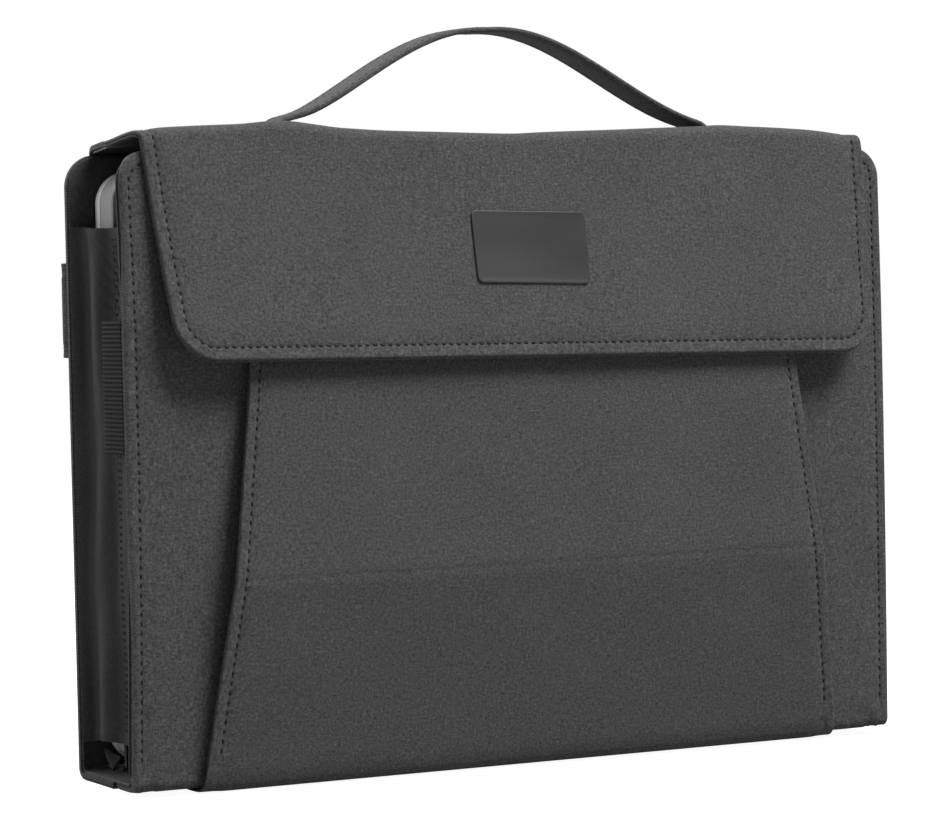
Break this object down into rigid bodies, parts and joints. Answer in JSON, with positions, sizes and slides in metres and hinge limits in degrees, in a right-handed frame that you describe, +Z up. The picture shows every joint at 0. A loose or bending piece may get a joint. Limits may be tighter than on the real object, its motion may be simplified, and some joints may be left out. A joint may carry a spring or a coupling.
{
  "type": "laptop carry case",
  "caption": "Upright fabric folio case with a top flap, strap handle, pleated gussets, pen loop, rear strap and fold-out stand, holding a slim computer.",
  "frame": {"origin": "middle of the underside, half way between the front and rear panels", "axes": "+X across the width, to the right seen from the front; -Y out of the front, where the flap and the stand are; +Z up"},
  "size_m": [0.361, 0.0743, 0.3008],
  "materials": {
    "melange_fabric": "woven charcoal melange polyester",
    "black_twill": "black twill",
    "black_lining": "smooth black lining",
    "elastic": "ribbed elastic",
    "webbing": "flat webbing core",
    "stiffener": "fibreboard",
    "silver": "bead-blasted",
    "rubber_feet": "matt",
    "magnet": "nickel-plated",
    "badge_plate": "satin"
  },
  "bodies": {
    "rear": {"rear_cover": "melange_fabric", "rear_board": "stiffener", "rear_lining": "black_lining", "bottom_cover": "melange_fabric", "bottom_board": "stiffener", "bottom_lining": "black_lining", "left_gusset": "black_twill", "right_gusset": "black_twill", "left_corner_pocket": "black_twill", "right_corner_pocket": "black_twill", "trolley_strap": "melange_fabric", "laptop_base": "silver", "laptop_lid": "silver", "laptop_feet": "rubber_feet"},
    "front": {"front_cover": "melange_fabric", "front_board": "stiffener", "front_lining": "black_lining", "front_magnets": "magnet", "pen_loop": "elastic"},
    "top": {"top_cover": "melange_fabric", "top_board": "stiffener", "top_lining": "black_lining", "handle_tabs": "melange_fabric"},
    "flap": {"flap_cover": "melange_fabric", "flap_board": "stiffener", "flap_lining": "black_lining", "flap_magnets": "magnet", "badge": "badge_plate"},
    "handle": {"handle_strap": "melange_fabric", "handle_core": "webbing"},
    "stand_lower": {"stand_lower_cover": "melange_fabric", "stand_lower_board": "stiffener", "stand_lower_lining": "black_lining", "stand_hinge_bead": "melange_fabric"},
    "stand_upper": {"stand_upper_cover": "melange_fabric", "stand_upper_board": "stiffener", "stand_upper_lining": "black_lining", "stand_magnets": "magnet"}
  },
  "joints": [
    {"name": "top_opening", "type": "hinge", "parent": "rear", "child": "top", "pos_m": [0, 0.025, 0.2503], "axis": [-1, 0, 0], "range_deg": [0, 175]},
    {"name": "flap_opening", "type": "hinge", "parent": "top", "child": "flap", "pos_m": [0, -0.027, 0.2582], "axis": [-1, 0, 0], "range_deg": [0, 100]},
    {"name": "front_spread", "type": "hinge", "parent": "rear", "child": "front", "pos_m": [0, -0.025, 0.001], "axis": [1, 0, 0], "range_deg": [0, 10]},
    {"name": "handle_swing", "type": "hinge", "parent": "top", "child": "handle", "pos_m": [0, -0.005, 0.2586], "axis": [1, 0, 0], "range_deg": [-25, 25]},
    {"name": "stand_fold", "type": "hinge", "parent": "front", "child": "stand_lower", "pos_m": [0, -0.028, 0.0024], "axis": [1, 0, 0], "range_deg": [0, 45]},
    {"name": "stand_crease", "type": "hinge", "parent": "stand_lower", "child": "stand_upper", "pos_m": [0, -0.04, 0.0802], "axis": [-1, 0, 0], "range_deg": [0, 83]}
  ],
  "couplings": [
    {"joint": "front_spread", "follows": "top_opening", "ratio": 0.0571},
    {"joint": "stand_crease", "follows": "stand_fold", "ratio": 1.83}
  ]
}
